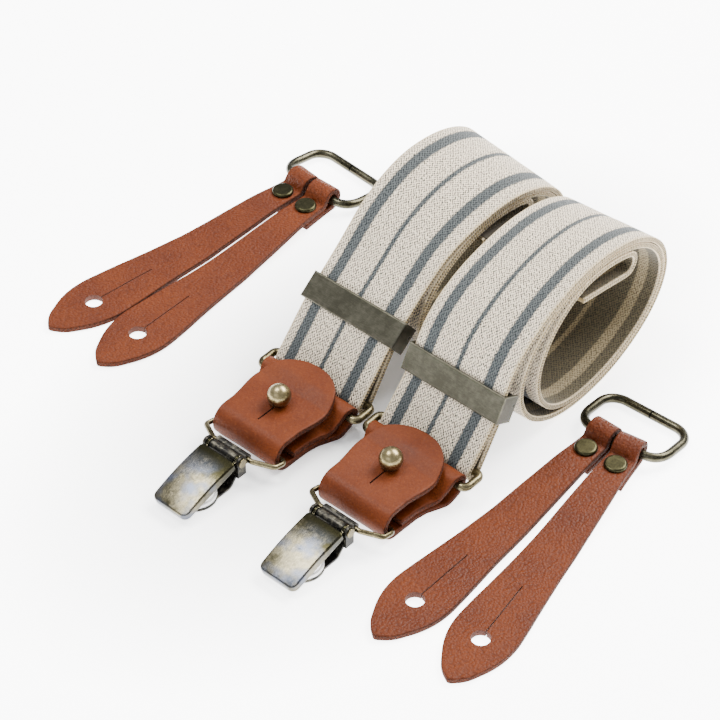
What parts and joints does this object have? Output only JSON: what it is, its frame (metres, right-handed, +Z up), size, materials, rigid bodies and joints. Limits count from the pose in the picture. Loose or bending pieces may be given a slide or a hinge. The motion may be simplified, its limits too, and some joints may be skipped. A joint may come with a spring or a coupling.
{
  "type": "clip-end suspenders",
  "caption": "Rolled elastic suspenders with metal slides, leather tabs, hinged trouser clips and spare leather button loops on D-rings.",
  "frame": {"origin": "middle of the footprint of the whole set, on the surface it lies on", "axes": "+X across the two straps, +Y from the clips towards the rolled straps, +Z up"},
  "size_m": [0.2042, 0.1656, 0.0516],
  "materials": {
    "elastic": "woven, striped",
    "leather": "satin, fine grain",
    "antique_brass": "aged, brushed",
    "dark_metal": "blackened",
    "pad": "smooth"
  },
  "bodies": {
    "webbing": {"strap_left": "elastic", "strap_right": "elastic", "back_patch": "leather"},
    "slide_left": {"slide_cover_left": "antique_brass", "slide_bar_left": "antique_brass"},
    "clamp_left": {"slide_clamp_left": "antique_brass"},
    "ring_left": {"ring_left": "antique_brass"},
    "tab_left": {"tab_left": "leather", "stud_ball_left": "antique_brass", "stud_screw_left": "antique_brass"},
    "bail_left": {"bail_left": "antique_brass"},
    "clip_left": {"clip_frame_left": "dark_metal", "clip_pin_left": "dark_metal", "clip_pad_lower_left": "pad"},
    "lid_left": {"clip_lid_left": "antique_brass"},
    "jaw_left": {"clip_jaw_left": "dark_metal", "clip_pad_upper_left": "pad"},
    "slide_right": {"slide_cover_right": "antique_brass", "slide_bar_right": "antique_brass"},
    "clamp_right": {"slide_clamp_right": "antique_brass"},
    "ring_right": {"ring_right": "antique_brass"},
    "tab_right": {"tab_right": "leather", "stud_ball_right": "antique_brass", "stud_screw_right": "antique_brass"},
    "bail_right": {"bail_right": "antique_brass"},
    "clip_right": {"clip_frame_right": "dark_metal", "clip_pin_right": "dark_metal", "clip_pad_lower_right": "pad"},
    "lid_right": {"clip_lid_right": "antique_brass"},
    "jaw_right": {"clip_jaw_right": "dark_metal", "clip_pad_upper_right": "pad"},
    "spare_ring_left": {"spare_ring_left": "antique_brass"},
    "button_loop_outer_left": {"button_loop_outer_left": "leather", "rivet_cap_outer_left": "antique_brass", "rivet_post_outer_left": "antique_brass"},
    "button_loop_inner_left": {"button_loop_inner_left": "leather", "rivet_cap_inner_left": "antique_brass", "rivet_post_inner_left": "antique_brass"},
    "spare_ring_right": {"spare_ring_right": "antique_brass"},
    "button_loop_inner_right": {"button_loop_inner_right": "leather", "rivet_cap_inner_right": "antique_brass", "rivet_post_inner_right": "antique_brass"},
    "button_loop_outer_right": {"button_loop_outer_right": "leather", "rivet_cap_outer_right": "antique_brass", "rivet_post_outer_right": "antique_brass"}
  },
  "joints": [
    {"name": "slide_travel_left", "type": "slide", "parent": "webbing", "child": "slide_left", "axis": [0, 0.7893, 0.6141], "range_m": [0, 0.003]},
    {"name": "clamp_hinge_left", "type": "hinge", "parent": "slide_left", "child": "clamp_left", "pos_m": [-0.0091, 0.00436, 0.02296], "axis": [1, 0, 0], "range_deg": [0, 50]},
    {"name": "ring_hinge_left", "type": "hinge", "parent": "webbing", "child": "ring_left", "pos_m": [-0.0091, -0.01384, 0.007], "axis": [1, 0, 0], "range_deg": [-5, 40]},
    {"name": "tab_hinge_left", "type": "hinge", "parent": "ring_left", "child": "tab_left", "pos_m": [-0.0091, -0.02134, 0.007], "axis": [1, 0, 0], "range_deg": [-5, 40]},
    {"name": "bail_hinge_left", "type": "hinge", "parent": "tab_left", "child": "bail_left", "pos_m": [-0.0091, -0.04694, 0.005], "axis": [1, 0, 0], "range_deg": [-8, 40]},
    {"name": "clip_hinge_left", "type": "hinge", "parent": "bail_left", "child": "clip_left", "pos_m": [-0.0091, -0.05484, 0.007], "axis": [1, 0, 0], "range_deg": [-12, 15]},
    {"name": "lid_hinge_left", "type": "hinge", "parent": "clip_left", "child": "lid_left", "pos_m": [-0.0091, -0.05824, 0.0086], "axis": [-1, 0, 0], "range_deg": [0, 60], "stiffness_Nm_per_rad": 0.05},
    {"name": "jaw_hinge_left", "type": "hinge", "parent": "clip_left", "child": "jaw_left", "pos_m": [-0.0091, -0.05824, 0.0086], "axis": [-1, 0, 0], "range_deg": [0, 15]},
    {"name": "slide_travel_right", "type": "slide", "parent": "webbing", "child": "slide_right", "axis": [0, 0.4764, 0.8792], "range_m": [0, 0.003]},
    {"name": "clamp_hinge_right", "type": "hinge", "parent": "slide_right", "child": "clamp_right", "pos_m": [0.034, 0.00178, 0.02378], "axis": [1, 0, 0], "range_deg": [0, 50]},
    {"name": "ring_hinge_right", "type": "hinge", "parent": "webbing", "child": "ring_right", "pos_m": [0.034, -0.01384, 0.007], "axis": [1, 0, 0], "range_deg": [-5, 40]},
    {"name": "tab_hinge_right", "type": "hinge", "parent": "ring_right", "child": "tab_right", "pos_m": [0.034, -0.02134, 0.007], "axis": [1, 0, 0], "range_deg": [-5, 40]},
    {"name": "bail_hinge_right", "type": "hinge", "parent": "tab_right", "child": "bail_right", "pos_m": [0.034, -0.04694, 0.005], "axis": [1, 0, 0], "range_deg": [-8, 40]},
    {"name": "clip_hinge_right", "type": "hinge", "parent": "bail_right", "child": "clip_right", "pos_m": [0.034, -0.05484, 0.007], "axis": [1, 0, 0], "range_deg": [-12, 15]},
    {"name": "lid_hinge_right", "type": "hinge", "parent": "clip_right", "child": "lid_right", "pos_m": [0.034, -0.05824, 0.0086], "axis": [-1, 0, 0], "range_deg": [0, 60], "stiffness_Nm_per_rad": 0.05},
    {"name": "jaw_hinge_right", "type": "hinge", "parent": "clip_right", "child": "jaw_right", "pos_m": [0.034, -0.05824, 0.0086], "axis": [-1, 0, 0], "range_deg": [0, 15]},
    {"name": "spare_lift_left", "type": "slide", "parent": "webbing", "child": "spare_ring_left", "axis": [0, 0, 1], "range_m": [0, 0.05]},
    {"name": "loop_swing_outer_left", "type": "hinge", "parent": "spare_ring_left", "child": "button_loop_outer_left", "pos_m": [-0.0807, 0.05501, 0.00425], "axis": [-0.9914, 0.1305, 0], "range_deg": [0, 60]},
    {"name": "loop_swing_inner_left", "type": "hinge", "parent": "spare_ring_left", "child": "button_loop_inner_left", "pos_m": [-0.071, 0.05441, 0.00425], "axis": [-1, 0, 0], "range_deg": [0, 110]},
    {"name": "spare_lift_right", "type": "slide", "parent": "webbing", "child": "spare_ring_right", "axis": [0, 0, 1], "range_m": [0, 0.05]},
    {"name": "loop_swing_inner_right", "type": "hinge", "parent": "spare_ring_right", "child": "button_loop_inner_right", "pos_m": [0.0687, 0.02641, 0.00425], "axis": [-1, 0, 0], "range_deg": [0, 110]},
    {"name": "loop_swing_outer_right", "type": "hinge", "parent": "spare_ring_right", "child": "button_loop_outer_right", "pos_m": [0.0784, 0.0266, 0.00425], "axis": [-0.9876, -0.157, 0], "range_deg": [0, 60]}
  ],
  "couplings": [
    {"joint": "jaw_hinge_left", "follows": "lid_hinge_left", "ratio": 0.25},
    {"joint": "jaw_hinge_right", "follows": "lid_hinge_right", "ratio": 0.25}
  ]
}
